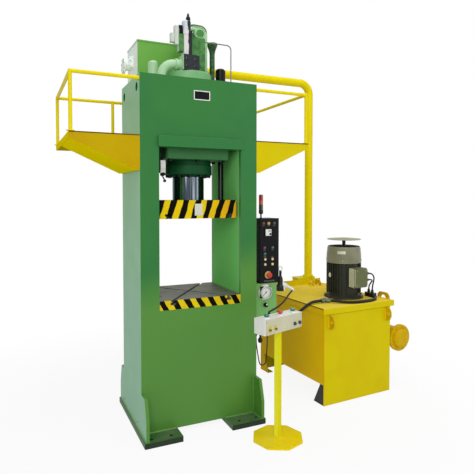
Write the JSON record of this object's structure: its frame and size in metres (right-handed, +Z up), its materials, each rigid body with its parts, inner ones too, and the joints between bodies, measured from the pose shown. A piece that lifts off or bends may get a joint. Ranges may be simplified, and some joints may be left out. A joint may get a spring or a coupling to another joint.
{
  "type": "hydraulic press",
  "caption": "Closed frame down-stroking hydraulic press with striped platen, crown platform, operator panel, two-hand pedestal and oil power pack.",
  "frame": {"origin": "on the floor under the middle of the press frame", "axes": "+X along the frame's width towards the power pack, -Y the operator's front, +Z up"},
  "size_m": [3.249, 1.8019, 3.425],
  "materials": {
    "frame_green": "satin",
    "dark_green": "satin",
    "pale_green": "satin",
    "black_steel": "satin",
    "chrome": "polished",
    "machined_steel": "machined",
    "striped_platen": "satin",
    "pump_iron": "cast",
    "yellow": "gloss",
    "motor_green": "painted",
    "cowl_olive": "satin",
    "switch_grey": "satin",
    "box_grey": "satin",
    "black_plastic": "matte",
    "cream_plastic": "gloss",
    "red_plastic": "gloss",
    "green_plastic": "gloss",
    "lamp_plastic": "gloss",
    "cable_rubber": "matte"
  },
  "bodies": {
    "press_frame": {"face_plates": "frame_green", "side_plates": "frame_green", "jamb_plates": "frame_green", "crown_box": "frame_green", "bed_box": "frame_green", "foot_plates": "frame_green", "panel_column": "frame_green", "cylinder_mount_plate": "frame_green", "gland_flange": "dark_green", "cylinder_barrel": "dark_green", "cylinder_top_cover": "pale_green", "guide_bushes": "pale_green", "prefill_tank": "pale_green", "elbow_pipe": "pale_green", "crown_pipes": "pale_green", "valve_block": "black_steel", "solenoid_valve": "black_steel", "junction_valve": "black_steel", "panel_box": "black_steel", "cylinder_bolts": "black_steel", "pressure_gauge": "black_steel", "bolster": "machined_steel", "lid_fittings": "machined_steel", "pump": "pump_iron", "platform_decks": "yellow", "railing": "yellow", "overflow_pipe": "yellow", "pedestal_stand": "yellow", "tank_body": "yellow", "tank_lid": "yellow", "oil_cooler": "yellow", "motor_body": "motor_green", "fan_cowl": "cowl_olive", "terminal_box": "cowl_olive", "limit_switch": "switch_grey", "name_plate": "switch_grey", "pedestal_box": "box_grey", "tower_light": "lamp_plastic", "pedestal_cable": "cable_rubber", "power_conduit": "cable_rubber", "motor_conduit": "cable_rubber", "motor_leads": "cable_rubber", "loop_hose": "cable_rubber"},
    "press_slide": {"ram": "chrome", "platen": "striped_platen", "guide_rods": "chrome"},
    "switch_lever": {"limit_switch_arm": "switch_grey"},
    "door": {"panel_door": "black_steel", "panel_lamps": "lamp_plastic"},
    "button_one": {"panel_button_1": "cream_plastic"},
    "button_two": {"panel_button_2": "cream_plastic"},
    "button_three": {"panel_button_3": "cream_plastic"},
    "button_four": {"panel_button_4": "cream_plastic"},
    "door_stop": {"panel_stop": "red_plastic"},
    "pointer": {"gauge_pointer": "black_plastic"},
    "knob": {"gauge_knob": "black_plastic"},
    "palm_left": {"palm_button_left": "green_plastic"},
    "palm_right": {"palm_button_right": "green_plastic"},
    "ped_stop": {"pedestal_stop": "red_plastic"},
    "rotor": {"motor_rotor": "machined_steel"}
  },
  "joints": [
    {"name": "press_stroke", "type": "slide", "parent": "press_frame", "child": "press_slide", "axis": [0, 0, 1], "range_m": [-0.48, 0.12]},
    {"name": "switch_lever_turn", "type": "hinge", "parent": "press_frame", "child": "switch_lever", "pos_m": [-0.293, -0.19, 2.075], "axis": [0, 1, 0], "range_deg": [-30, 30], "stiffness_Nm_per_rad": 0.4},
    {"name": "door_hinge", "type": "hinge", "parent": "press_frame", "child": "door", "pos_m": [0.61, -0.166, 1.4], "axis": [0, 0, -1], "range_deg": [0, 100]},
    {"name": "button_one_press", "type": "slide", "parent": "door", "child": "button_one", "axis": [0, 1, 0], "range_m": [0, 0.004], "stiffness_N_per_m": 800},
    {"name": "button_two_press", "type": "slide", "parent": "door", "child": "button_two", "axis": [0, 1, 0], "range_m": [0, 0.004], "stiffness_N_per_m": 800},
    {"name": "button_three_press", "type": "slide", "parent": "door", "child": "button_three", "axis": [0, 1, 0], "range_m": [0, 0.004], "stiffness_N_per_m": 800},
    {"name": "button_four_press", "type": "slide", "parent": "door", "child": "button_four", "axis": [0, 1, 0], "range_m": [0, 0.004], "stiffness_N_per_m": 800},
    {"name": "door_stop_press", "type": "slide", "parent": "door", "child": "door_stop", "axis": [0, 1, 0], "range_m": [0, 0.006], "stiffness_N_per_m": 1200},
    {"name": "pointer_turn", "type": "hinge", "parent": "press_frame", "child": "pointer", "pos_m": [0.667, -0.188, 1.038], "axis": [0, 1, 0], "range_deg": [0, 270], "stiffness_Nm_per_rad": 0.002},
    {"name": "knob_turn", "type": "hinge", "parent": "press_frame", "child": "knob", "pos_m": [0.665, -0.185, 0.924], "axis": [0, 1, 0], "range_deg": [0, 90]},
    {"name": "palm_left_press", "type": "slide", "parent": "press_frame", "child": "palm_left", "axis": [0, 0, -1], "range_m": [0, 0.006], "stiffness_N_per_m": 1500},
    {"name": "palm_right_press", "type": "slide", "parent": "press_frame", "child": "palm_right", "axis": [0, 0, -1], "range_m": [0, 0.006], "stiffness_N_per_m": 1500},
    {"name": "ped_stop_press", "type": "slide", "parent": "press_frame", "child": "ped_stop", "axis": [0, 0, -1], "range_m": [0, 0.006], "stiffness_N_per_m": 1500},
    {"name": "rotor_spin", "type": "hinge", "parent": "press_frame", "child": "rotor", "pos_m": [1.66109, -0.00258, 1], "axis": [0, 0, 1], "continuous": true}
  ]
}
